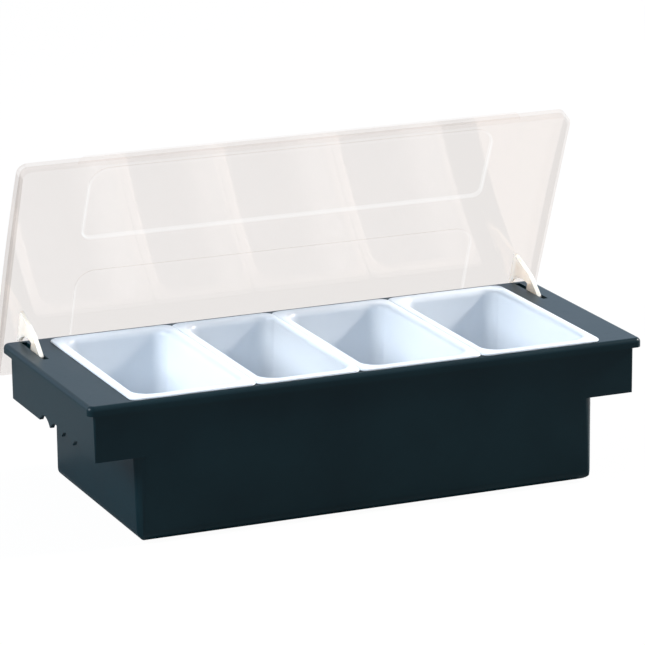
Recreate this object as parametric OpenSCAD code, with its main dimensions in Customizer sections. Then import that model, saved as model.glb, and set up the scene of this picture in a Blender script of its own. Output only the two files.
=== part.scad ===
// Condiment caddy: a deep plastic housing that carries four lift-out inserts under one clear lid.
// X runs along the length, Y to the back and Z up, in millimetres. The origin is the middle of
// the housing, on the surface that the feet stand on. The lid is drawn standing open.

/* [Housing] */
// Length over the rim
rim_l = 390; // [360:1:450]
// Depth over the rim, front to back
rim_d = 168; // [155:1:200]
// Height of the deck above the table
deck_h = 97; // [88:1:130]
// Thickness of the deck
deck_t = 3; // [2.4:0.1:4]
// Height of the band around the rim
rim_h = 6.2; // [5:0.1:9]
// Rounding of the rim's top edge
rim_edge_r = 3; // [1.5:0.1:3.5]
// Corner radius of the rim, seen from above
rim_corner_r = 4.5; // [4:0.1:9]
// How far the rim stands out past the end skirts
end_overhang = 4.6; // [2:0.1:7]
// How far the rim stands out past the front and back walls
side_overhang = 3.8; // [2:0.1:5]
// Thickness of the walls and the floor
wall = 2.6; // [2.2:0.1:3.4]
// Lean of the walls, in degrees
draft = 1; // [0.4:0.1:1.6]
// Height of the end skirts, from the deck down
skirt_drop = 38; // [36:1:46]
// Corner radius of the skirts
skirt_corner_r = 3; // [1.5:0.1:6]
// Corner radius of the well
well_corner_r = 9.5; // [8:0.1:14]
// Rounding of the well's bottom edge
well_edge_r = 8.5; // [5:0.1:14]

/* [Finger grips] */
// Number of scallops under each end skirt
scallop_n = 4; // [2:1:5]
// Distance between scallops
scallop_pitch = 21; // [18:0.1:24]
// Radius of a scallop
scallop_r = 11.5; // [9.5:0.1:14]
// Height of a scallop above the skirt's lower edge
scallop_h = 5.2; // [3:0.1:7]
// Middle of the row of scallops, behind the middle of the housing
scallop_y = -15.5; // [-20:0.5:20]

/* [Deck strips around the inserts] */
// Deck left in front of the inserts
strip_front = 3; // [2:0.1:8]
// Deck left behind the inserts
strip_back = 10; // [8:0.1:16]
// Deck left at each end of the row of inserts
strip_end = 29.5; // [28:0.1:36]

/* [Inserts] */
// Length of the narrow insert, which is the second from the left
narrow_l = 72; // [62:0.5:80]
// Width of an insert's rim, out to in
insert_rim_w = 8; // [7:0.1:10]
// Width of the narrow insert's right-hand rim
narrow_rim_w = 3.5; // [3:0.1:6]
// Thickness of an insert's rim
insert_rim_t = 2; // [1.2:0.1:2.3]
// Corner radius of an insert's rim
insert_rim_r = 4.5; // [3:0.1:10]
// Wall thickness of an insert
insert_wall = 2; // [1.4:0.1:2.4]
// Lean of an insert's walls, in degrees
insert_draft = 2; // [1.5:0.1:3]
// Radius of the upright corners outside an insert
insert_corner_r = 12.5; // [8:0.1:16]
// Rounding of an insert's bottom edge, outside
insert_edge_r = 9; // [5:0.1:14]
// Gap between neighbouring rims
insert_gap = 0.3; // [0.2:0.1:0.6]
// Clearance between an insert and the opening in the deck
insert_clear = 0.7; // [0.5:0.1:1.2]
// Room for ice between the floor and the inserts
ice_space = 9; // [6:0.5:16]

/* [Lid] */
// Wall thickness of the lid
lid_wall = 1.8; // [1.4:0.1:2.4]
// Clearance between the lid's skirt and the rim
lid_gap = 0.4; // [0.3:0.1:0.8]
// Height of the panel's edge above the deck when the lid is shut
lid_lift = 3.6; // [3.4:0.1:5]
// Rise of the panel's arch from its edges to its middle
lid_arch = 3.5; // [2:0.1:6]
// How far the lid's skirt hangs below the deck when the lid is shut
lid_lap = 3; // [2:0.1:5]
// How far the panel reaches behind the rim
lid_back = 0; // [0:0.1:3]
// Corner radius of the lid
lid_corner_r = 7; // [3:0.1:12]
// Length of the lifting lip on the lid's front edge
lip_l = 316; // [200:1:330]
// How far the lifting lip stands out
lip_out = 6; // [4:0.1:10]
// Thickness of the lifting lip
lip_t = 1.8; // [1.2:0.1:2.4]

/* [Raised fields on the lid] */
// Length of both fields
field_l = 290; // [200:1:320]
// Radius of a field's front corners
field_r = 13; // [4:0.5:20]
// Radius of a field's back corners
field_back_r = 6; // [3:0.5:20]
// Height of a field above the panel
field_h = 0.8; // [0.4:0.1:1.2]
// Distance of the first field from the lid's front edge
field_front = 11; // [8:0.5:16]
// Depth of the first field
front_field_d = 56; // [30:0.5:58]
// Distance between the two fields
field_space = 28; // [20:0.5:34]
// Depth of the second field
back_field_d = 60; // [30:0.5:62]

/* [Hinge] */
// Distance of the hinge axis in front of the rim's back edge
hinge_in = 16; // [15:0.1:17]
// Depth of the hinge axis below the deck
hinge_down = 21; // [20.5:0.1:22]
// Angle at which the lid is drawn, from shut
open_angle = 68; // [60:1:80]
// Greatest opening angle, which sets how far back the arm is cut away
max_open = 108; // [100:1:109]
// Distance of each hinge arm's middle from the end of the rim
arm_in = 13.5; // [12:0.1:14.5]
// Thickness of a hinge arm
arm_t = 3; // [2.4:0.1:3.4]
// Clearance beside a hinge arm
arm_gap = 0.4; // [0.3:0.1:0.6]
// Reach of the arm in front of the hinge axis, at the panel
arm_reach = 34; // [31:0.5:36]
// Reach of the arm's toe in front of the hinge axis while the lid stands open
toe_reach = 25.4; // [22:0.1:27]
// Radius of the arm around its pin
hub_r = 7; // [5:0.1:7.4]
// Radius of a hinge pin
pin_r = 2.5; // [2:0.1:3]
// Clearance around a hinge pin
pin_fit = 0.06; // [0.03:0.01:0.1]
// How far a pin stands out of its arm
pin_l = 3; // [2.4:0.1:3.4]
// Thickness of the inner bearing plate
cheek_t = 3; // [2.4:0.1:4]
// Width of the bearing plates on each side of the pin's centre
cheek_r = 6.5; // [5:0.1:7]
// Deck left between the slot for the arm and the back edge
slot_back = 6; // [5.6:0.1:7]
// Clearance between the arm and the ends of its slot
slot_gap = 0.6; // [0.5:0.1:1]

/* [Feet] */
// Radius of a foot
foot_r = 6; // [4:0.1:9]
// How far a foot stands out of the floor
foot_proud = 1; // [0.6:0.1:2]
// Depth of the pocket that a foot sits in
foot_pocket = 1.2; // [0.8:0.1:1.4]
// Distance of a foot's centre from the well's end and side walls
foot_in = 20; // [18:0.5:40]
// Clearance around a foot in its pocket
foot_gap = 0.1; // [0.05:0.01:0.3]

/* [Hidden] */
$fn = 64;
// overlap that keeps joined shapes and cuts from ending on one face
bite = 0.5;
// how far the rounded corner outlines stand outside the leaning walls
corner_spare = 0.2;
// smoothness of the lid's wide arch
arch_fn = 720;
// how far the toe's tip lies under the deck's top while the lid stands open
toe_under = 0.8;
// spare turn between the arm's neck and its slot when the lid is fully open
neck_spare = 4.5;
// room between the arm and the rim's back corner as it swings over it
neck_gap = 0.5;

// Housing, worked out
floor_z = foot_proud;
skirt_z = deck_h - skirt_drop;
deck_under = deck_h - deck_t;
band_z = deck_h - rim_h;
skirt_half_l = rim_l / 2 - end_overhang;
skirt_half_d = rim_d / 2 - side_overhang;

// Inserts, worked out: a row of full-size ones with a narrow one as the second
row_l = rim_l - 2 * strip_end;
row_front = -rim_d / 2 + strip_front;
row_back = rim_d / 2 - strip_back;
row_mid = (row_front + row_back) / 2;
full_l = (row_l - narrow_l - 3 * insert_gap) / 3;
insert_z = floor_z + wall + ice_space;
tub_in = insert_rim_w - insert_wall;
narrow_in = narrow_rim_w - insert_wall;

// Opening in the deck and the well below it
open_half_l = row_l / 2 - tub_in + insert_clear;
open_front = row_front + tub_in - insert_clear;
open_back = row_back - tub_in + insert_clear;
well_half_l = open_half_l + wall;

// Lid, worked out
lid_half_l = rim_l / 2 + lid_gap + lid_wall;
lid_front = -rim_d / 2 - lid_gap - lid_wall;
lid_rear = rim_d / 2 + lid_back;
lid_mid = (lid_front + lid_rear) / 2;
lid_d = lid_rear - lid_front;
lid_skirt_z = deck_h - lid_lap;
lid_edge_z = deck_h + lid_lift;
skirt_end = lid_rear - lid_corner_r;
lip_r = 0.9 * lip_out;
arch_r = lid_d * lid_d / (8 * lid_arch) + lid_arch / 2;
arch_z = lid_edge_z + lid_arch - arch_r;

// Hinge, worked out: all of it is measured from the axis
hinge_y = rim_d / 2 - hinge_in;
hinge_z = deck_h - hinge_down;
arm_x = rim_l / 2 - arm_in;
slot_w = arm_t + 2 * arm_gap;
slot_front = hinge_y - arm_reach - slot_gap;
slot_rear = rim_d / 2 - slot_back;
corner_r = norm([hinge_in, hinge_down]);
neck_r = corner_r + neck_gap;
neck_a = atan2(hinge_down, hinge_in - slot_back) + max_open + neck_spare;
toe_open = [-toe_reach, hinge_down - toe_under];
toe = [
    toe_open[0] * cos(open_angle) - toe_open[1] * sin(open_angle),
    toe_open[0] * sin(open_angle) + toe_open[1] * cos(open_angle)
];

// Half depth and half length of the outer walls at a height
function wall_y(z) = skirt_half_d - tan(draft) * (band_z - z);
function skirt_x(z) = skirt_half_l - tan(draft) * (band_z - z);
function well_x(z) = well_half_l - tan(draft) * (deck_under - z);

// Extrudes an outline drawn in X and Z along Y, or one drawn in Y and Z along X
module along_y(length) rotate([90, 0, 0]) linear_extrude(length, center = true) children();
module along_x(length) rotate([90, 0, 90]) linear_extrude(length, center = true) children();

// Rectangle with round corners, from its half sizes
module rounded_rect(half_x, half_y, r) {
    square([2 * half_x, 2 * (half_y - r)], center = true);
    square([2 * (half_x - r), 2 * half_y], center = true);
    for (x = [-1, 1], y = [-1, 1])
        translate([x * (half_x - r), y * (half_y - r)]) circle(r);
}

// Leaning walls over a flat bottom with round edges: half is the half width at the top
module tub_outline(half, top, bottom, r, lean) {
    low = half - tan(lean) * (top - bottom);
    centre = low - r * (1 - sin(lean)) / cos(lean);
    side = centre + r * cos(lean);
    side_z = bottom + r * (1 - sin(lean));
    polygon([
        [-half, top], [-side, side_z], [-centre, bottom],
        [centre, bottom], [side, side_z], [half, top]
    ]);
    for (x = [-1, 1]) translate([x * centre, bottom + r]) circle(r);
}

// A tub: its two outlines crossed, with its upright corners rounded
module tub(half_l, half_d, top, bottom, edge_r, corner_r, lean) {
    intersection() {
        along_y(2 * (half_d + bite)) tub_outline(half_l, top, bottom, edge_r, lean);
        along_x(2 * (half_l + bite)) tub_outline(half_d, top, bottom, edge_r, lean);
        translate([0, 0, bottom - bite]) linear_extrude(top - bottom + 2 * bite)
            rounded_rect(half_l + corner_spare, half_d + corner_spare, corner_r);
    }
}

// A plate with rounded corners and a rounded top edge
module soft_plate(half_x, half_y, height, corner_r, edge_r) {
    core = corner_r - edge_r;
    linear_extrude(height - edge_r) rounded_rect(half_x, half_y, corner_r);
    linear_extrude(height) rounded_rect(half_x - edge_r, half_y - edge_r, core);
    for (y = [-1, 1]) translate([0, y * (half_y - edge_r), height - edge_r])
        rotate([0, 90, 0]) cylinder(r = edge_r, h = 2 * (half_x - corner_r), center = true);
    for (x = [-1, 1]) translate([x * (half_x - edge_r), 0, height - edge_r])
        rotate([90, 0, 0]) cylinder(r = edge_r, h = 2 * (half_y - corner_r), center = true);
    for (x = [-1, 1], y = [-1, 1])
        translate([x * (half_x - corner_r), y * (half_y - corner_r), height - edge_r])
            rotate_extrude() intersection() {
                translate([core, 0]) circle(edge_r);
                translate([0, -edge_r]) square([corner_r, 2 * edge_r]);
            }
}

// Seen from the front: the well with the two end skirts above it
module front_outline() {
    tub_outline(well_x(deck_under), deck_under, floor_z, well_edge_r, draft);
    polygon([
        [-skirt_x(skirt_z), skirt_z], [skirt_x(skirt_z), skirt_z],
        [skirt_x(deck_under), deck_under], [-skirt_x(deck_under), deck_under]
    ]);
}

// Outer form under the rim: the front and side views crossed, with the upright corners rounded
module body_solid() {
    intersection() {
        along_y(rim_d) front_outline();
        along_x(rim_l) tub_outline(wall_y(deck_under), deck_under, floor_z, well_edge_r, draft);
        union() {
            translate([0, 0, skirt_z]) linear_extrude(deck_h - skirt_z) rounded_rect(
                skirt_half_l + corner_spare, skirt_half_d + corner_spare, skirt_corner_r
            );
            linear_extrude(skirt_z + bite) rounded_rect(
                well_x(skirt_z) + corner_spare, wall_y(skirt_z) + corner_spare, well_corner_r
            );
        }
    }
}

// Finger space under the deck at one end, between the skirt and the well
module end_space(side) {
    low = skirt_z - bite;
    intersection() {
        along_y(rim_d) polygon([
            [side * well_x(low), low], [side * (skirt_x(low) - wall), low],
            [side * (skirt_x(deck_under) - wall), deck_under], [side * well_x(deck_under), deck_under]
        ]);
        along_x(rim_l) polygon([
            [-wall_y(low) + wall, low], [wall_y(low) - wall, low],
            [wall_y(deck_under) - wall, deck_under], [-wall_y(deck_under) + wall, deck_under]
        ]);
    }
}

// Space inside the well, under the deck
module well_space() {
    tub(
        well_x(deck_under) - wall, wall_y(deck_under) - wall, deck_under, floor_z + wall,
        well_edge_r - wall, well_corner_r - wall, draft
    );
}

// Bearing plates for one hinge pin: they hang from the deck and join the back wall
module bearing(side) {
    inner = arm_x - slot_w / 2 - cheek_t;
    outer = skirt_x(hinge_z) - wall + bite;
    back = wall_y(hinge_z) - wall + bite - hinge_y;
    difference() {
        translate([side * (inner + outer) / 2, hinge_y, hinge_z]) along_x(outer - inner) {
            circle(cheek_r);
            translate([-cheek_r, 0]) square([cheek_r + back, hinge_down - deck_t + bite]);
            translate([0, -cheek_r]) square([back, cheek_r + bite]);
        }
        translate([side * arm_x, hinge_y, hinge_z])
            cube([slot_w, 4 * cheek_r, 4 * hinge_down], center = true);
    }
}

module housing() {
    color([0.07, 0.13, 0.15]) difference() {
        union() {
            difference() {
                union() {
                    translate([0, 0, band_z])
                        soft_plate(rim_l / 2, rim_d / 2, rim_h, rim_corner_r, rim_edge_r);
                    body_solid();
                }
                for (side = [-1, 1]) end_space(side);
            }
            for (side = [-1, 1]) bearing(side);
        }
        well_space();
        // the opening that the inserts hang in
        translate([0, (open_front + open_back) / 2, deck_under - bite])
            linear_extrude(deck_t + 2 * bite) rounded_rect(
                open_half_l, (open_back - open_front) / 2, insert_corner_r - insert_clear
            );
        for (side = [-1, 1]) {
            // slot for the hinge arm, and the bore for its pin
            translate([side * arm_x - slot_w / 2, slot_front, deck_under - bite])
                cube([slot_w, slot_rear - slot_front, deck_t + 2 * bite]);
            translate([side * arm_x, hinge_y, hinge_z]) rotate([0, 90, 0])
                cylinder(r = pin_r + pin_fit, h = arm_t + 2 * pin_l + 2 * arm_gap, center = true);
            // scallops for the fingers
            for (n = [0 : scallop_n - 1])
                translate([
                    side * skirt_half_l,
                    scallop_y + (n - (scallop_n - 1) / 2) * scallop_pitch,
                    skirt_z + scallop_h - scallop_r
                ])
                    rotate([0, 90, 0])
                        cylinder(r = scallop_r, h = 2 * end_overhang + 2 * wall, center = true);
        }
        foot_places() translate([0, 0, floor_z - bite])
            cylinder(r = foot_r + foot_gap, h = foot_pocket + bite);
    }
}

// Puts its child at each of the four feet
module foot_places() {
    for (x = [-1, 1], y = [-1, 1]) foot_place(x, y) children();
}

module foot_place(x, y) {
    translate([x * (well_x(floor_z) - foot_in), y * (wall_y(floor_z) - foot_in), 0]) children();
}

module foot(x, y) {
    color([0.16, 0.16, 0.17]) foot_place(x, y) cylinder(r = foot_r, h = foot_proud + foot_pocket);
}

// One insert, from its left edge, its length over the rim and its right-hand rim's inset
module insert(left, length, right_in) {
    mid = left + length / 2;
    tub_mid = left + (tub_in + length - right_in) / 2;
    tub_half = (length - tub_in - right_in) / 2;
    tub_half_d = (row_back - row_front) / 2 - tub_in;
    top = deck_h + insert_rim_t;
    color([0.96, 0.97, 0.98]) difference() {
        union() {
            translate([mid, row_mid, deck_h]) soft_plate(
                length / 2, (row_back - row_front) / 2, insert_rim_t,
                insert_rim_r, insert_rim_t / 2
            );
            translate([tub_mid, row_mid, 0]) tub(
                tub_half, tub_half_d, deck_h + bite, insert_z,
                insert_edge_r, insert_corner_r, insert_draft
            );
        }
        translate([tub_mid, row_mid, 0]) tub(
            tub_half - insert_wall, tub_half_d - insert_wall, top + bite, insert_z + insert_wall,
            insert_edge_r - insert_wall, insert_corner_r - insert_wall, insert_draft
        );
    }
}

module insert_left() {
    insert(-row_l / 2, full_l, tub_in);
}

module insert_mid_left() {
    insert(-row_l / 2 + full_l + insert_gap, narrow_l, narrow_in);
}

module insert_mid_right() {
    insert(row_l / 2 - 2 * full_l - insert_gap, full_l, tub_in);
}

module insert_right() {
    insert(row_l / 2 - full_l, full_l, tub_in);
}

// Everything under an arched surface that lies a distance outside the panel's inner face
module under_arch(out) {
    along_x(2 * (lid_half_l + bite)) intersection() {
        translate([lid_mid, arch_z]) circle(arch_r + out, $fn = arch_fn);
        translate([lid_front - bite, lid_skirt_z]) square([lid_d + 2 * bite, lid_d]);
    }
}

// The lid's outline from above, drawn in by an inset
module lid_outline(inset) {
    translate([0, lid_mid])
        rounded_rect(lid_half_l - inset, lid_d / 2 - inset, lid_corner_r - inset);
}

module lid_panel() {
    intersection() {
        difference() {
            under_arch(lid_wall);
            under_arch(0);
        }
        linear_extrude(2 * deck_h) lid_outline(0);
    }
}

// The skirt around the front and the ends of the lid. It ends short of the round back corners,
// so that it swings down beside the rim and not through it.
module lid_skirt() {
    intersection() {
        under_arch(lid_wall);
        translate([0, 0, lid_skirt_z]) linear_extrude(deck_h) difference() {
            lid_outline(0);
            lid_outline(lid_wall);
            translate([-lid_half_l, skirt_end]) square([2 * lid_half_l, lid_d]);
        }
    }
}

module lid_lip() {
    translate([0, lid_front, lid_skirt_z]) linear_extrude(lip_t)
        rounded_rect(lip_l / 2, lip_out, lip_r);
}

// A field seen from above: one outline gives its front corners and one its back corners
module field_outline(half_d) {
    intersection() {
        translate([0, field_r]) rounded_rect(field_l / 2, half_d + field_r, field_r);
        translate([0, -field_back_r]) rounded_rect(field_l / 2, half_d + field_back_r, field_back_r);
    }
}

// Two raised fields that stiffen the panel
module lid_fields() {
    intersection() {
        difference() {
            under_arch(lid_wall + field_h);
            under_arch(lid_wall / 2);
        }
        linear_extrude(2 * deck_h) {
            translate([0, lid_front + field_front + front_field_d / 2])
                field_outline(front_field_d / 2);
            translate([0, lid_front + field_front + front_field_d + field_space + back_field_d / 2])
                field_outline(back_field_d / 2);
        }
    }
}

// Side view of a hinge arm, from the hinge axis: a hook that passes over the rim's back corner
module arm_outline() {
    top = hinge_down + lid_lift + lid_arch + lid_wall;
    neck = neck_r * [cos(neck_a), sin(neck_a)];
    crown_back = -sqrt(neck_r * neck_r - (hinge_down + lid_lift) * (hinge_down + lid_lift));
    circle(hub_r);
    polygon([[0, 0], neck, [-arm_reach, neck[1]], toe, [0, -hub_r]]);
    difference() {
        polygon([neck, [-arm_reach, neck[1]], [-arm_reach, top], [crown_back, top], [crown_back, neck[1]]]);
        circle(neck_r);
    }
}

module hinge_arm(side) {
    translate([side * arm_x, hinge_y, hinge_z]) along_x(arm_t) arm_outline();
    translate([side * arm_x, hinge_y, hinge_z]) rotate([0, 90, 0])
        cylinder(r = pin_r, h = arm_t + 2 * pin_l, center = true);
}

module lid_shut() {
    lid_panel();
    lid_skirt();
    lid_fields();
    difference() {
        lid_lip();
        translate([-lid_half_l, lid_front + lid_wall, 0]) cube([2 * lid_half_l, lid_d, deck_h + bite]);
    }
    // the roots of the two hinge arms
    intersection() {
        for (side = [-1, 1]) hinge_arm(side);
        under_arch(lid_wall / 2);
        translate([-lid_half_l, lid_front, lid_edge_z]) cube([2 * lid_half_l, lid_d, deck_h]);
    }
}

// Swings its child from shut to the angle at which the lid stands open
module swing_open() {
    translate([0, hinge_y, hinge_z]) rotate([-open_angle, 0, 0])
        translate([0, -hinge_y, -hinge_z]) children();
}

module lid() {
    color([0.86, 0.9, 0.92, 0.35]) swing_open() lid_shut();
}

// One hinge arm, from its pin up to its root under the panel
module lid_arm(side) {
    color([0.86, 0.9, 0.92, 0.35]) swing_open() intersection() {
        hinge_arm(side);
        translate([-lid_half_l, lid_front, 0]) cube([2 * lid_half_l, lid_d, lid_edge_z]);
    }
}

housing();
lid();
lid_arm(-1);  // lid_arm_left
lid_arm(1);  // lid_arm_right
insert_left();
insert_mid_left();
insert_mid_right();
insert_right();
foot(-1, -1);  // foot_front_left
foot(1, -1);  // foot_front_right
foot(-1, 1);  // foot_back_left
foot(1, 1);  // foot_back_right
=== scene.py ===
# %% [markdown]
# # A condiment caddy
# The object is a long dark tub for a bar counter. Four white inserts hang in its deck over ice,
# and one clear lid stands open behind them on two hooked arms. This first cell loads the measured
# model. Every piece made here lies in that model's frame and takes the place of one or more
# measured ones, so nothing is fitted by eye. The scene is in metres, and sizes that are given in
# millimetres are multiplied by MM.

# %% Load the measured model
import math
import bmesh
import bpy
from mathutils import Matrix, Vector


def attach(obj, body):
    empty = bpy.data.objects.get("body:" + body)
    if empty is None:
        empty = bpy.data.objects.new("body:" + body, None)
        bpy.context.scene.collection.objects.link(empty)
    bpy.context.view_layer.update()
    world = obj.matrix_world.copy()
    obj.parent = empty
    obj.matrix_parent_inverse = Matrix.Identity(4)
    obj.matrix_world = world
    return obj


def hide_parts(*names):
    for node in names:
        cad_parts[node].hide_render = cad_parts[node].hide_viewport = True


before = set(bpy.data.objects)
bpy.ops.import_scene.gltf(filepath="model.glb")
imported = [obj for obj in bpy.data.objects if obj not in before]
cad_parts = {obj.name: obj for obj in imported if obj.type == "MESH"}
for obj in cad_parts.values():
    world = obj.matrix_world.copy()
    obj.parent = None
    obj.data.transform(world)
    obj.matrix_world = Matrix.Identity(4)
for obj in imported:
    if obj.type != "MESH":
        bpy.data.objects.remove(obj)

MM = 0.001
scene = bpy.context.scene
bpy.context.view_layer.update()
print("measured nodes:", ", ".join(sorted(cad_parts)))

# %% [markdown]
# ## The camera
# The photograph was taken from a long way off with a long lens, from the front left and a little
# above, which is why the edges of the tub stay almost parallel. The numbers come from fitting 28
# points, among them the rim's corners, the notches between the inserts and the lid's corners. A
# camera can be aimed with a constraint, but a matrix built from its three axes also holds the
# slight roll that the picture has.

# %% Place the camera
CAMERA_AT = Vector((-987.2, -2308.5, 799.3)) * MM
YAW, PITCH, ROLL = (math.radians(a) for a in (23.16, 15.37, -0.455))
FOCAL_PIXELS, PHOTO_PIXELS, SENSOR = 3936, 645, 36
SEES_TO = 20

forward = Vector((
    math.sin(YAW) * math.cos(PITCH), math.cos(YAW) * math.cos(PITCH), -math.sin(PITCH),
))
level = Vector((math.cos(YAW), -math.sin(YAW), 0))
upward = level.cross(forward)
right = level * math.cos(ROLL) + upward * math.sin(ROLL)
upward = upward * math.cos(ROLL) - level * math.sin(ROLL)

camera = bpy.data.objects.new("camera", bpy.data.cameras.new("camera"))
scene.collection.objects.link(camera)
camera.data.sensor_width = SENSOR
camera.data.lens = FOCAL_PIXELS / PHOTO_PIXELS * SENSOR
camera.data.clip_end = SEES_TO
turn = Matrix((right, upward, -forward)).transposed().to_4x4()
camera.matrix_world = Matrix.Translation(CAMERA_AT) @ turn
scene.camera = camera
print(f"camera: {camera.data.lens:.0f} mm lens, {CAMERA_AT.length:.2f} m from the caddy")

# %% [markdown]
# ## Writing node trees as sums
# Materials and rule-made shapes are both trees of nodes. Placing each Math node by hand hides the
# thought behind it, so a small class wraps one output and lets it stand in a Python sum. Adding
# two of them, or one and a plain number from either side, adds a Math node to the tree. What has
# no sign of its own, such as a square root, goes through the method "function".

# %% A wrapper for sockets, and a maker for all other nodes
class Value:
    def __init__(self, maker, socket):
        self.maker, self.socket = maker, socket

    def _math(self, operation, *terms):
        return self.maker.add("ShaderNodeMath", {"operation": operation}, dict(enumerate(terms)))

    def __add__(self, other): return self._math("ADD", self, other)
    def __radd__(self, other): return self._math("ADD", other, self)
    def __sub__(self, other): return self._math("SUBTRACT", self, other)
    def __rsub__(self, other): return self._math("SUBTRACT", other, self)
    def __mul__(self, other): return self._math("MULTIPLY", self, other)
    def __rmul__(self, other): return self._math("MULTIPLY", other, self)
    def __truediv__(self, other): return self._math("DIVIDE", self, other)
    def __rtruediv__(self, other): return self._math("DIVIDE", other, self)
    def __pow__(self, other): return self._math("POWER", self, other)
    def __rpow__(self, other): return self._math("POWER", other, self)

    def function(self, operation, *others): return self._math(operation, self, *others)
    def at_least(self, low): return self.function("MAXIMUM", low)
    def at_most(self, high): return self.function("MINIMUM", high)
    def is_above(self, level): return self.function("GREATER_THAN", level)
    def other_output(self, name): return Value(self.maker, self.socket.node.outputs[name])


class Maker:
    def __init__(self, tree):
        self.tree = tree

    def add(self, kind, settings=None, values=None, out=0):
        node = self.tree.nodes.new(kind)
        for name, setting in (settings or {}).items():
            if name == "stops":
                ramp = node.color_ramp
                while len(ramp.elements) < len(setting):
                    ramp.elements.new(0.5)
                for element, (place, tone) in zip(ramp.elements, setting):
                    element.position, element.color = place, (*tone, 1)
            else:
                setattr(node, name, setting)
        for name, value in (values or {}).items():
            if isinstance(value, Value):
                self.tree.links.new(value.socket, node.inputs[name])
            else:
                node.inputs[name].default_value = value
        return Value(self, node.outputs[out]) if node.outputs else node

    def split(self, vector):
        x = self.add("ShaderNodeSeparateXYZ", {}, {"Vector": vector}, out="X")
        return x, x.other_output("Y"), x.other_output("Z")


print("nodes can now be written as sums")

# %% [markdown]
# ## Moulded plastic, three ways
# All the pieces are injection moulded, and differ in what was added to the plastic. The tub is
# dark with a faint moulded grain, the inserts are milky and let some light through, and the lid
# is clear. The same few faults mark all three: a grain too fine to see singly, slow waves where
# the plastic shrank, and rubbing that leaves some places glossier than others. Each material is
# made from the same few steps. The scale of a noise is about how many of its waves fit in a metre.

# %% Steps that the materials share
def new_material(name):
    material = bpy.data.materials.new(name)
    material.use_nodes = True
    material.node_tree.nodes.clear()
    return material, Maker(material.node_tree)


def place_on(maker, scale=(1, 1, 1)):
    place = maker.add("ShaderNodeTexCoord", out="Object")
    return maker.add("ShaderNodeMapping", {}, {"Vector": place, "Scale": scale})


def noise(maker, place, scale, detail):
    return maker.add("ShaderNodeTexNoise", {}, {"Vector": place, "Scale": scale, "Detail": detail})


def ramp(maker, stops, factor):
    return maker.add("ShaderNodeValToRGB", {"stops": stops}, {"Fac": factor})


def bump(maker, strength, distance, height):
    values = {"Strength": strength, "Distance": distance, "Height": height}
    return maker.add("ShaderNodeBump", {}, values)


def soft_step(value, start, width):
    return ((value - start) / width).at_least(0.0).at_most(1.0)


def principled(maker, values):
    return maker.add("ShaderNodeBsdfPrincipled", {}, values)


def mixed(maker, share, first, second):
    return maker.add("ShaderNodeMixShader", {}, {0: share, 1: first, 2: second})


def show(maker, shader):
    maker.add("ShaderNodeOutputMaterial", {}, {"Surface": shader})


# %% [markdown]
# ### The tub's dark plastic
# Almost black with some blue and green in it. What shows is mostly reflection, so the roughness
# matters more than the colour. The grain is a fine noise through a Bump node. Slow noise moves the
# roughness up and down, and the colour with it, as on a tub that has been wiped for years. Where
# a drawn-out noise rises above a level, the surface is scuffed and a little rougher still.

# %% Dark plastic
DARK_TONES = [(0.35, (0.0014, 0.0095, 0.0125)), (0.65, (0.0020, 0.0125, 0.0160))]
DARK_GRAIN, DARK_WEAR, DARK_SCUFFS = 2600, 14, 160
SCUFFED_ABOVE, DARK_SPECULAR = 0.62, 0.14


def dark_plastic():
    material, maker = new_material("dark_plastic")
    place = place_on(maker)
    grain = noise(maker, place, DARK_GRAIN, 1.0)
    worn = noise(maker, place, DARK_WEAR, 3.0)
    scuffs = noise(maker, place_on(maker, (1, 6, 6)), DARK_SCUFFS, 3.0)
    show(maker, principled(maker, {
        "Base Color": ramp(maker, DARK_TONES, worn),
        "Roughness": 0.27 + worn * 0.1 + scuffs.is_above(SCUFFED_ABOVE) * 0.03,
        "Specular IOR Level": DARK_SPECULAR,
        "Normal": bump(maker, 0.12, 0.12 * MM, grain * 0.6 + worn * 0.4),
    }))
    return material


DARK = dark_plastic()
print("material:", DARK.name)

# %% [markdown]
# ### The inserts' milky plastic
# White food-service plastic isn't opaque: some light goes into a wall, wanders about and comes out
# again near by or on the other side, which takes the edge off every shadow. Subsurface scattering
# does this by following light inside the wall, so the wall must be a closed skin with its real
# thickness. The colour is well below white, because the walls of a tub light each other, and each
# bounce makes them brighter.

# %% Milky plastic
MILKY_TONES = [(0.3, (0.73, 0.77, 0.82)), (0.7, (0.76, 0.80, 0.85))]
MILKY_GRAIN, MILKY_WAVES = 1800, 9
SAME_FOR_ALL_COLOURS = (1.0, 1.0, 1.0)
MILKY_DEPTH = 5 * MM


def milky_plastic():
    material, maker = new_material("milky_plastic")
    place = place_on(maker)
    grain = noise(maker, place, MILKY_GRAIN, 1.0)
    waves = noise(maker, place, MILKY_WAVES, 2.0)
    show(maker, principled(maker, {
        "Base Color": ramp(maker, MILKY_TONES, waves),
        "Roughness": 0.3 + waves * 0.1,
        "Normal": bump(maker, 0.1, 0.08 * MM, grain * 0.5 + waves),
        "Subsurface Weight": 1.0,
        "Subsurface Radius": SAME_FOR_ALL_COLOURS,
        "Subsurface Scale": MILKY_DEPTH,
    }))
    return material


MILKY = milky_plastic()
print("material:", MILKY.name)
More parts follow.
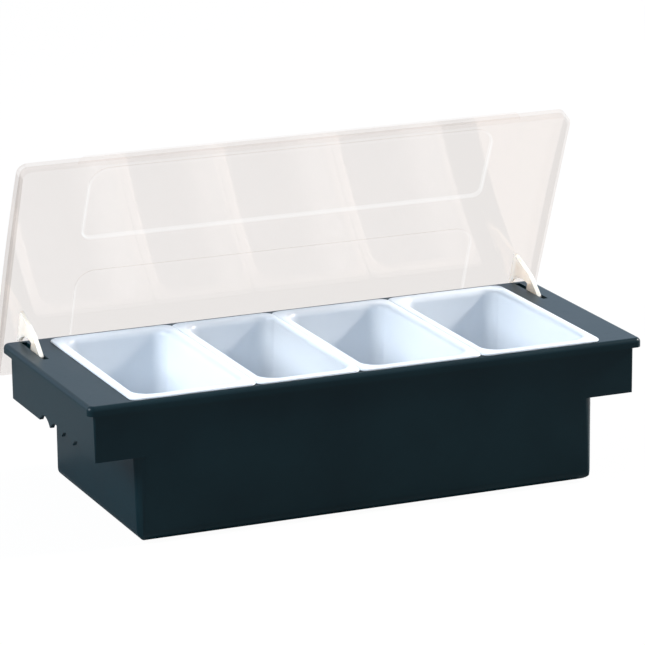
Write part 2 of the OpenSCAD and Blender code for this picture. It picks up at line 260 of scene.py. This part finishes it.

# %% [markdown]
# ### The lid's clear plastic
# The two raised fields of the lid are outlined by a painted highlight, a line that is made clearer
# than the panel and stands in for the light that the raised edges catch. Its place is worked out
# in the material: the Mapping node turns the lid shut, and a signed distance says how far a point
# is from the outline of a rectangle with round corners. It is negative inside and zero on the
# line. The front corners of a field are rounder than its back ones, so the radius changes halfway,
# and the painted line is fainter along the field's front edge.

# %% The lid when it is shut, and the painted highlight lines on it
PIVOT = Vector((0, 68, 76)) * MM
OPEN = math.radians(68)
TO_SHUT = Matrix.Rotation(OPEN, 3, "X")
SHUT_SHIFT = PIVOT - TO_SHUT @ PIVOT
# Each field's painted highlight line: where it lies, how wide it is and how strong.
FIELDS = [
    {"middle": -47.2, "half_l": 145, "half_d": 28, "width": 1.1, "painted_shine": 1.0},
    {"middle": 38.8, "half_l": 145, "half_d": 30, "width": 0.9, "painted_shine": 0.7},
]
FRONT_R, BACK_R = 13, 6
FAINT, FADE_D = 0.15, 16


# The painted highlight along a field's outline, which stands in for the light its raised edge
# catches.
def outline(x, y, field):
    from_middle = y - field["middle"] * MM
    radius = (FRONT_R + (BACK_R - FRONT_R) * from_middle.is_above(0.0)) * MM
    over_x = x.function("ABSOLUTE") - (field["half_l"] * MM - radius)
    over_y = from_middle.function("ABSOLUTE") - (field["half_d"] * MM - radius)
    far_x, far_y = over_x.at_least(0.0), over_y.at_least(0.0)
    corner = (far_x * far_x + far_y * far_y).function("SQRT")
    distance = corner + over_x.at_least(over_y).at_most(0.0) - radius
    near = (1 - distance.function("ABSOLUTE") / (field["width"] * MM)).at_least(0.0)
    behind_front = soft_step(y, (field["middle"] - field["half_d"]) * MM, FADE_D * MM)
    fade = FAINT + (1 - FAINT) * behind_front
    return (near * 2.0).at_most(1.0) * fade * field["painted_shine"]


print("the lid turns about", tuple(PIVOT))

# %% [markdown]
# A thin clear wall does three things: it lets most light through, takes out a little blue, and
# mirrors more of its surroundings the flatter it is looked at. Refraction could do all of it, but
# rays that get lost inside a thin wall come out black, and every edge of the real lid is the
# opposite, whiter than the rest, because the moulded edges gather light. So each face mixes
# Transparent shaders with a mirror. The mirror's share follows a well-known short rule: it grows
# with the fifth power of how far the face is turned away.
#
# The face attribute read here says what a face is. On an edge or a skirt, and on the lines round
# the fields, the whiteness is a painted highlight: a tinted Transparent shader gives way to a
# nearly clear one and the mirror grows weaker, so these faces show whiter than their light makes
# them. On a hooked arm the mirror turns into a pale solid plastic, because an arm is seen through
# much more of it, and the arm's narrow faces get the strongest painted highlight.

# %% Clear plastic
# Where painted highlights lie, the tinted colour gives way to the nearly clear one and the mirror
# loses a share.
TINTED, HIGHLIGHT_CLEAR = (0.945, 0.928, 0.918, 1), (0.995, 0.990, 0.987, 1)
WARM_WHITE = (1.0, 0.82, 0.70, 1)
HEAD_ON, HIGHLIGHT_LESS_MIRROR = 0.045, 0.6
CLEAR_FLOW, CLEAR_SMEARS = 12, 30
SOLID_FROM, SOLID_RISE = 0.5, 1.6
ARM_DEPTH = 3 * MM


def clear_plastic():
    material, maker = new_material("clear_plastic")
    place = place_on(maker)
    shut = maker.add("ShaderNodeMapping", {}, {
        "Vector": place, "Location": tuple(SHUT_SHIFT), "Rotation": (OPEN, 0, 0),
    })
    x, y, _ = maker.split(shut)
    flow = noise(maker, place_on(maker, (0.5, 2, 2)), CLEAR_FLOW, 2.0)
    smears = noise(maker, place, CLEAR_SMEARS, 3.0)
    uneven = bump(maker, 0.05, 0.5 * MM, flow)
    # Each face's share of painted highlight, and on the arms of pale solid plastic, then the
    # painted highlight lines round the fields.
    highlight_and_arm = maker.add("ShaderNodeAttribute", {"attribute_name": "bright"}, out="Fac")
    painted_lines = outline(x, y, FIELDS[0]).at_least(outline(x, y, FIELDS[1]))
    # Painted highlight: these faces turn clearer and less mirror-like, so they show whiter.
    clear = painted_lines.at_least((highlight_and_arm * 2.0).at_most(1.0))
    solid = (highlight_and_arm - SOLID_FROM).at_least(0.0) * SOLID_RISE
    tinted = maker.add("ShaderNodeBsdfTransparent", {}, {"Color": TINTED})
    highlight_through = maker.add("ShaderNodeBsdfTransparent", {}, {"Color": HIGHLIGHT_CLEAR})
    gloss = principled(maker, {
        "Base Color": WARM_WHITE,
        "Metallic": 1 - (solid * 4.0).at_most(1.0),
        "Roughness": 0.02 + smears * 0.02 + highlight_and_arm * 0.2,
        "Normal": uneven,
        "Subsurface Weight": 1.0,
        "Subsurface Radius": SAME_FOR_ALL_COLOURS,
        "Subsurface Scale": ARM_DEPTH,
    })
    facing = maker.add("ShaderNodeLayerWeight", {}, {"Blend": 0.5, "Normal": uneven}, out="Facing")
    mirror = (HEAD_ON + (1 - HEAD_ON) * facing ** 5.0) * (1 - HIGHLIGHT_LESS_MIRROR * clear)
    through = mixed(maker, clear, tinted, highlight_through)
    show(maker, mixed(maker, (mirror + solid).at_most(1.0), through, gloss))
    return material


CLEAR = clear_plastic()
print("material:", CLEAR.name)

# %% [markdown]
# ### Rubber
# The feet are soft black rubber, matt and slightly dusty.

# %% Rubber
RUBBER_TONES = [(0.4, (0.02, 0.02, 0.021)), (0.7, (0.05, 0.05, 0.052))]
RUBBER_DUST = 220


def rubber():
    material, maker = new_material("rubber")
    dust = noise(maker, place_on(maker), RUBBER_DUST, 3.0)
    show(maker, principled(maker, {
        "Base Color": ramp(maker, RUBBER_TONES, dust),
        "Roughness": 0.7 + dust * 0.2,
        "Normal": bump(maker, 0.2, 0.1 * MM, dust),
    }))
    return material


RUBBER = rubber()
print("material:", RUBBER.name)

# %% [markdown]
# ## From a mesh to a finished piece
# A finished piece is a plain mesh at the origin, in its one material, that rides on a moving body
# and stands for a measured node or several. Every piece goes through the same few steps, so they
# are functions. Faces that meet at more than a given angle stay crisp, and all the others are
# smooth. A copy of several measured nodes is welded into one skin, and the faces left inside it
# are taken away: every edge of such a face belongs to more than two faces.

# %% Finish a piece
WELD = 2e-6
FLAT, CRISP = math.radians(0.05), math.radians(32)


def finish_piece(mesh, name, material, body, nodes):
    mesh.materials.clear()
    mesh.materials.append(material)
    piece = bpy.data.objects.new(name, mesh)
    scene.collection.objects.link(piece)
    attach(piece, body)
    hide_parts(*nodes)
    print(f"{name}: {len(mesh.polygons)} faces")
    return piece


def smooth(mesh):
    mesh.shade_smooth()
    mesh.set_sharp_from_angle(angle=CRISP)
    return mesh


def with_modifiers(mesh, add_modifiers):
    work = bpy.data.objects.new("work", mesh)
    scene.collection.objects.link(work)
    add_modifiers(work.modifiers)
    graph = bpy.context.evaluated_depsgraph_get()
    result = bpy.data.meshes.new_from_object(work.evaluated_get(graph))
    bpy.data.objects.remove(work)
    return result


def count_open(work):
    return sum(1 for edge in work.edges if not edge.is_manifold)


def clean_up(work):
    bmesh.ops.remove_doubles(work, verts=work.verts, dist=WELD)
    bmesh.ops.dissolve_limit(work, angle_limit=FLAT, verts=work.verts, edges=work.edges)


def solid_copy(*nodes):
    mesh = bpy.data.meshes.new(nodes[0] + "_copy")
    whole = bmesh.new()
    for node in nodes:
        part = bmesh.new()
        part.from_mesh(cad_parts[node].data)
        clean_up(part)
        part.to_mesh(mesh)
        part.free()
        whole.from_mesh(mesh)
    bmesh.ops.remove_doubles(whole, verts=whole.verts, dist=WELD)
    inside = [face for face in whole.faces if all(len(edge.link_faces) > 2 for edge in face.edges)]
    bmesh.ops.delete(whole, geom=inside, context="FACES_ONLY")
    clean_up(whole)
    print(nodes[0], "copied; faces inside:", len(inside), "open edges:", count_open(whole))
    whole.to_mesh(mesh)
    whole.free()
    return smooth(mesh)


# %% [markdown]
# ## The housing
# One big moulding: a deck with a rim round it, a deep well below, and a skirt at each end with
# scallops for the fingers. Its flat and round faces are already right in the measured model, so
# a copy of that is used. What the copy lacks is the tiny rounding that every moulded edge has and
# that catches the light. A Bevel modifier adds it along every edge that is sharp. A Weighted
# Normal modifier comes after it, because smooth shading would bend the look of every large face
# towards the small new faces along its edges, and a mirror image in that face would bend with it.

# %% Housing
SHARP = math.radians(38)


def round_edges(mesh, width, material=-1):
    def add_modifiers(modifiers):
        bevel = modifiers.new("small rounding", "BEVEL")
        bevel.limit_method, bevel.angle_limit = "ANGLE", SHARP
        bevel.width, bevel.segments = width, 2
        bevel.use_clamp_overlap, bevel.material = True, material
        true_faces = modifiers.new("true faces", "WEIGHTED_NORMAL")
        true_faces.keep_sharp, true_faces.weight, true_faces.mode = True, 100, "FACE_AREA"

    return with_modifiers(mesh, add_modifiers)


housing_mesh = round_edges(solid_copy("housing"), 0.5 * MM)
finish_piece(housing_mesh, "housing_shell", DARK, "base", ["housing"])

# %% [markdown]
# ## The inserts
# The four inserts are one shape at two lengths. Going once round the tub, every height has the
# same outline, a rectangle with round corners, and only its size and corner radius change. So a
# profile says how far in, how round and how high each ring is, and Geometry Nodes turn it into the
# tub. The profile's points hold those three numbers as their X, Y and Z. The profile starts under
# the floor, goes up outside, over the rim and down inside. The narrow insert is the same tree with
# two other numbers.

# %% The profile of an insert
DECK, RIM_T, RIM_W, WALL, TUB_IN = 97, 2.0, 8.0, 2.0, 6.0
FLOOR_UNDER, FLOOR_IN, LEAN = 12.6, 12, math.radians(2)
RIM_R, OUTER_R, BEND, LIP, LEAST_R = 4.5, 12.5, 9.0, 4.6, 0.4
UNDER_RIM, RIM_TOP_R, RIM_LOW_R, RIM_LOW_CUT = 0.4, 1.0, 0.5, 0.15


def arc(inset, height, radius, start, end, steps):
    angles = [math.radians(start + (end - start) * i / steps) for i in range(steps + 1)]
    return [(inset - radius * math.cos(a), height + radius * math.sin(a)) for a in angles]


def wall_with_bend(top, top_inset, bottom, bend):
    low_inset = top_inset + math.tan(LEAN) * (top - bottom)
    centre = low_inset + bend * (1 - math.sin(LEAN)) / math.cos(LEAN)
    return arc(centre, bottom + bend, bend, -math.degrees(LEAN), -90, 8)


outside = wall_with_bend(DECK, TUB_IN, FLOOR_UNDER, BEND)[::-1]
inside = wall_with_bend(DECK + RIM_T, RIM_W, FLOOR_UNDER + WALL, BEND - WALL)
profile = [
    (outside[0][0] + FLOOR_IN, FLOOR_UNDER), *outside,
    (TUB_IN, DECK - UNDER_RIM), (TUB_IN - UNDER_RIM, DECK),
    (RIM_LOW_R, DECK), (RIM_LOW_CUT, DECK + RIM_LOW_CUT), (0, DECK + RIM_LOW_R),
    *arc(RIM_TOP_R, DECK + RIM_T - RIM_TOP_R, RIM_TOP_R, 0, 90, 5),
    *arc(RIM_W - LIP, DECK + RIM_T - LIP, LIP, 90, 178, 8),
    *inside, (inside[-1][0] + FLOOR_IN, FLOOR_UNDER + WALL),
]


def corner_radius(inset):
    flat = RIM_W - LIP
    if inset < flat:
        return RIM_R + (OUTER_R + TUB_IN - flat - RIM_R) * inset / flat
    return max(LEAST_R, OUTER_R + TUB_IN - inset)


rings = [(inset * MM, corner_radius(inset) * MM, height * MM) for inset, height in profile]
print(f"the insert's profile has {len(rings)} rings")

# %% [markdown]
# The tree makes a grid whose columns go round the tub and whose rows are the rings. Each point
# looks up its ring, works out which corner it belongs to and how far round it is, and moves there.
# On the right side the rim may be narrower, so its inset is scaled over the rim's width.

# %% The tree that turns a profile into a tub
QUARTER_TURN = math.pi / 2
TUB_INPUTS = [
    ("NodeSocketGeometry", ["Profile"]),
    ("NodeSocketFloat", [
        "Length", "Depth", "Middle X", "Middle Y", "Rim width", "Right rim width",
    ]),
    ("NodeSocketInt", ["Corner steps", "Rings"]),
    ("NodeSocketMaterial", ["Material"]),
]


def tub_tree():
    tree = bpy.data.node_groups.new("tub_from_profile", "GeometryNodeTree")
    for kind, names in TUB_INPUTS:
        for name in names:
            tree.interface.new_socket(name, in_out="INPUT", socket_type=kind)
    tree.interface.new_socket("Tub", in_out="OUTPUT", socket_type="NodeSocketGeometry")
    maker = Maker(tree)
    start = tree.nodes.new("NodeGroupInput")
    given = {socket.name: Value(maker, socket) for socket in start.outputs if socket.name}
    steps, count = given["Corner steps"], given["Rings"]

    grid = maker.add("GeometryNodeMeshGrid", {}, {
        "Size X": 1.0, "Size Y": 1.0, "Vertices X": steps * 4 + 1, "Vertices Y": count,
    }, out="Mesh")
    here = maker.add("GeometryNodeInputPosition")
    along, across, _ = maker.split(here)
    column = ((along + 0.5) * steps * 4).function("ROUND")
    row = ((across + 0.5) * (count - 1)).function("ROUND")
    corner = ((column + 0.5) / steps).function("FLOOR")
    angle = (corner + (column - corner * steps) / (steps - 1)) * QUARTER_TURN
    middle = (corner + 0.5) * QUARTER_TURN
    side_x = middle.function("COSINE").function("SIGN")
    side_y = middle.function("SINE").function("SIGN")

    ring = maker.add("GeometryNodeSampleIndex", {"data_type": "FLOAT_VECTOR"}, {
        "Geometry": given["Profile"], "Value": here, "Index": row,
    })
    inset, radius, height = maker.split(ring)
    rim, narrow = given["Rim width"], given["Right rim width"]
    narrowed = inset.at_most(rim) * narrow / rim + (inset - rim).at_least(0.0)
    is_right = side_x.is_above(0.0)
    inset_x = narrowed * is_right + inset * (1 - is_right)
    x = side_x * (given["Length"] / 2 - inset_x - radius) + radius * angle.function("COSINE")
    y = side_y * (given["Depth"] / 2 - inset - radius) + radius * angle.function("SINE")
    target = maker.add("ShaderNodeCombineXYZ", {}, {
        "X": x + given["Middle X"], "Y": y + given["Middle Y"], "Z": height,
    })

    moved = maker.add("GeometryNodeSetPosition", {}, {"Geometry": grid, "Position": target})
    joined = maker.add("GeometryNodeMergeByDistance", {}, {"Geometry": moved, "Distance": 1e-6})
    real = maker.add("GeometryNodeRealizeInstances", {}, {"Geometry": joined})
    dressed = maker.add("GeometryNodeSetMaterial", {}, {
        "Geometry": real, "Material": given["Material"],
    })
    end = tree.nodes.new("NodeGroupOutput")
    tree.links.new(dressed.socket, end.inputs["Tub"])
    return tree


TUB = tub_tree()
print("tree:", TUB.name, "with", len(TUB.nodes), "nodes")

# %% [markdown]
# A Geometry Nodes modifier gives the tree its numbers. Each number is set by its socket's
# identifier, because two sockets may share a name. The result becomes a plain mesh, its two open
# ends are the flat floor and the flat underside, and each is closed with one face.

# %% Run a tree and close its result
def run_tree(tree, points, values):
    def add_modifiers(modifiers):
        modifier = modifiers.new("tree", "NODES")
        modifier.node_group = tree
        for item in tree.interface.items_tree:
            if item.item_type == "SOCKET" and item.in_out == "INPUT" and item.name in values:
                modifier[item.identifier] = values[item.name]

    start = bpy.data.meshes.new("start")
    start.from_pydata(points, [], [])
    return with_modifiers(start, add_modifiers)


def close_ends(mesh):
    work = bmesh.new()
    work.from_mesh(mesh)
    bmesh.ops.remove_doubles(work, verts=work.verts, dist=1e-6)
    ends = [edge for edge in work.edges if edge.is_boundary]
    bmesh.ops.holes_fill(work, edges=ends, sides=0)
    bmesh.ops.recalc_face_normals(work, faces=work.faces)
    still_open = count_open(work)
    work.to_mesh(mesh)
    work.free()
    return still_open


print("a tree runs on any set of points")

# %% [markdown]
# The inserts stand in a row with a small gap between their rims. The second from the left is
# narrower, and its right-hand rim is thin, as the notches along the back of the rims show.

# %% Inserts
ROW_L, NARROW_L, THIN_RIM, GAP = 331.0, 72.0, 3.5, 0.3
FULL_L = (ROW_L - NARROW_L - 3 * GAP) / 3
DEPTH, ROW_Y, CORNER_STEPS = 155.0, -3.5, 11
INSERTS = {
    "insert_left": (FULL_L, RIM_W), "insert_mid_left": (NARROW_L, THIN_RIM),
    "insert_mid_right": (FULL_L, RIM_W), "insert_right": (FULL_L, RIM_W),
}
left = -ROW_L / 2
for name, (length, right_rim) in INSERTS.items():
    tub_mesh = run_tree(TUB, rings, {
        "Length": length * MM, "Depth": DEPTH * MM, "Middle X": (left + length / 2) * MM,
        "Middle Y": ROW_Y * MM, "Rim width": RIM_W * MM, "Right rim width": right_rim * MM,
        "Corner steps": CORNER_STEPS, "Rings": len(rings), "Material": MILKY,
    })
    print(name, "open edges:", close_ends(tub_mesh))
    finish_piece(smooth(tub_mesh), name + "_tub", MILKY, name, [name])
    left += length + GAP

# %% [markdown]
# ## The lid
# One thin clear moulding: an arched panel with a skirt round three of its sides, a lifting lip,
# two raised fields and two hooked arms. The measured model keeps the arms as nodes of their own,
# and the copy joins them to the panel again. Where an arm meets the panel, a face would be left
# inside the clear plastic and show as a line, so it is taken away as described above.
#
# The Bevel modifier can put the faces that it adds in a material of their own, which is an easy
# way to find them again: those faces are the edges, which get a painted highlight. The faces of
# the arms are found by where they lie when the lid is shut, and an arm's narrow faces get a
# stronger painted highlight than its flat sides. Edges high up on the arched panel are those of
# the fields, which have their painted lines already, and the skirts get a weaker painted
# highlight.

# %% Lid
LID_NODES = ("lid", "lid_arm_left", "lid_arm_right")
EDGE_MATERIAL = 1
ARM_X, ARM_HALF, PANEL_UNDER = 181.5 * MM, 6 * MM, 100 * MM
FIELD_END, FIELD_UNDER = 150 * MM, 101.5 * MM
# Shares of painted highlight for edges, arms and skirts; on the arms the share also makes the
# plastic pale and solid.
EDGE, ARM, ARM_EDGE, SKIRT = 0.5, 0.72, 1.0, 0.4
FACES_SIDEWAYS = 0.9


# A face's share of painted highlight, which on an arm also makes its plastic solid.
def highlight_and_arm_share(centre, normal, is_edge):
    shut = TO_SHUT @ (centre - PIVOT) + PIVOT
    if abs(abs(shut.x) - ARM_X) < ARM_HALF and shut.z < PANEL_UNDER:
        return ARM if abs(normal.x) > FACES_SIDEWAYS else ARM_EDGE
    on_a_field = abs(shut.x) < FIELD_END and shut.z > FIELD_UNDER
    if is_edge and not on_a_field:
        return EDGE
    return SKIRT if shut.z < PANEL_UNDER else 0.0


def mark_highlight_and_arm(mesh):
    marks = mesh.attributes.new("bright", "FLOAT", "FACE")
    for face in mesh.polygons:
        is_edge = face.material_index == EDGE_MATERIAL
        marks.data[face.index].value = highlight_and_arm_share(face.center, face.normal, is_edge)
    return sum(1 for mark in marks.data if mark.value > 0)


lid_copy = solid_copy(*LID_NODES)
lid_copy.materials.clear()
for _ in range(EDGE_MATERIAL + 1):
    lid_copy.materials.append(CLEAR)
lid_mesh = round_edges(lid_copy, 0.4 * MM, EDGE_MATERIAL)
print("bright faces on the lid:", mark_highlight_and_arm(lid_mesh))
finish_piece(lid_mesh, "lid_shell", CLEAR, "lid", LID_NODES)

# %% [markdown]
# ## The feet
# Four small pads stand a millimetre out of the underside. They keep their measured shape.

# %% Feet
feet = [node for name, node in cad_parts.items() if name.startswith("foot_")]
for pad in feet:
    pad.data.materials.clear()
    pad.data.materials.append(RUBBER)
print("feet:", len(feet))

# %% [markdown]
# ## The floor and the light
# The photograph is cut out on white. A large pale floor that the camera sees as white gives the
# same look and still takes the caddy's shadow. A dark tub in a room that is white all round would
# look grey, because it would mirror the floor. So mirror-like rays see a dim floor, except for a
# pale card to the right, which is what the bright right part of the lid mirrors.

# %% Floor
PALE, DIM, WHITE = (0.86, 0.86, 0.86, 1), (0.26, 0.27, 0.28, 1), (1, 1, 1, 1)
WHITE_SHARE, HALF_FLOOR = 0.97, 6
CARD_X, CARD_Y = (0.19, 0.04), (-0.20, 0.10)


def kinds_of_ray(maker):
    camera_ray = maker.add("ShaderNodeLightPath", out="Is Camera Ray")
    direct = camera_ray.at_least(camera_ray.other_output("Is Transmission Ray"))
    return direct, camera_ray.other_output("Is Glossy Ray")


def floor_material():
    material, maker = new_material("pale_floor")
    direct, mirrored = kinds_of_ray(maker)
    x, y, _ = maker.split(place_on(maker))
    card = soft_step(x, *CARD_X) * soft_step(y, *CARD_Y)
    pale = maker.add("ShaderNodeBsdfDiffuse", {}, {"Color": PALE})
    dim = maker.add("ShaderNodeBsdfDiffuse", {}, {"Color": DIM})
    paper = mixed(maker, mirrored * (1 - card), pale, dim)
    white = maker.add("ShaderNodeEmission", {}, {"Color": WHITE, "Strength": 1.0})
    show(maker, mixed(maker, direct * WHITE_SHARE, paper, white))
    return material


corners = [(HALF_FLOOR * x, HALF_FLOOR * y, 0) for x, y in ((-1, -1), (1, -1), (1, 1), (-1, 1))]
floor_mesh = bpy.data.meshes.new("floor")
floor_mesh.from_pydata(corners, [], [(0, 1, 2, 3)])
floor_mesh.materials.append(floor_material())
floor = bpy.data.objects.new("floor", floor_mesh)
scene.collection.objects.link(floor)
print(f"floor: {2 * HALF_FLOOR} m square")

# %% [markdown]
# The key light stands high and far to the right and a little in front, because the right walls of
# the inserts throw a slanting shadow on their back walls. It is far away so that the fourth insert
# isn't brighter than the first. A wide cool light on the left fills the right walls, which the
# photograph shows almost white, and the left end of the tub. The sky fills the rest with blue.

# %% Light
FILL, SKY, BACKDROP = ((0.58, 0.76, 1.0, 1), 0.32), ((0.68, 0.82, 1.0, 1), 1.3), (WHITE, 1.0)
AIM = Vector((0, 0, 0.08))
LAMPS = [
    {"name": "key", "place": (3.8, -0.5, 2.6), "watts": 370, "colour": (1.0, 0.98, 0.95)},
    {"name": "left fill", "place": (-1.3, 0.02, 0.8), "watts": 27, "colour": (0.82, 0.91, 1.0)},
]
LAMP_SIZE = 0.7


def set_world():
    world = bpy.data.worlds.new("studio")
    scene.world = world
    world.use_nodes = True
    world.node_tree.nodes.clear()
    maker = Maker(world.node_tree)
    direct, glossy = kinds_of_ray(maker)
    fill, sky, backdrop = (
        maker.add("ShaderNodeBackground", {}, {"Color": colour, "Strength": strength})
        for colour, strength in (FILL, SKY, BACKDROP)
    )
    lit = mixed(maker, glossy, fill, sky)
    maker.add("ShaderNodeOutputWorld", {}, {"Surface": mixed(maker, direct, lit, backdrop)})


def area_light(name, place, watts, colour):
    lamp = bpy.data.lights.new(name, "AREA")
    lamp.shape, lamp.size, lamp.energy, lamp.color = "DISK", LAMP_SIZE, watts, colour
    holder = bpy.data.objects.new(name, lamp)
    scene.collection.objects.link(holder)
    holder.location = place
    holder.rotation_euler = (AIM - Vector(place)).to_track_quat("-Z", "Y").to_euler()


set_world()
scene.view_settings.view_transform = "Standard"
for lamp in LAMPS:
    area_light(**lamp)
print("lights:", [lamp["name"] for lamp in LAMPS])
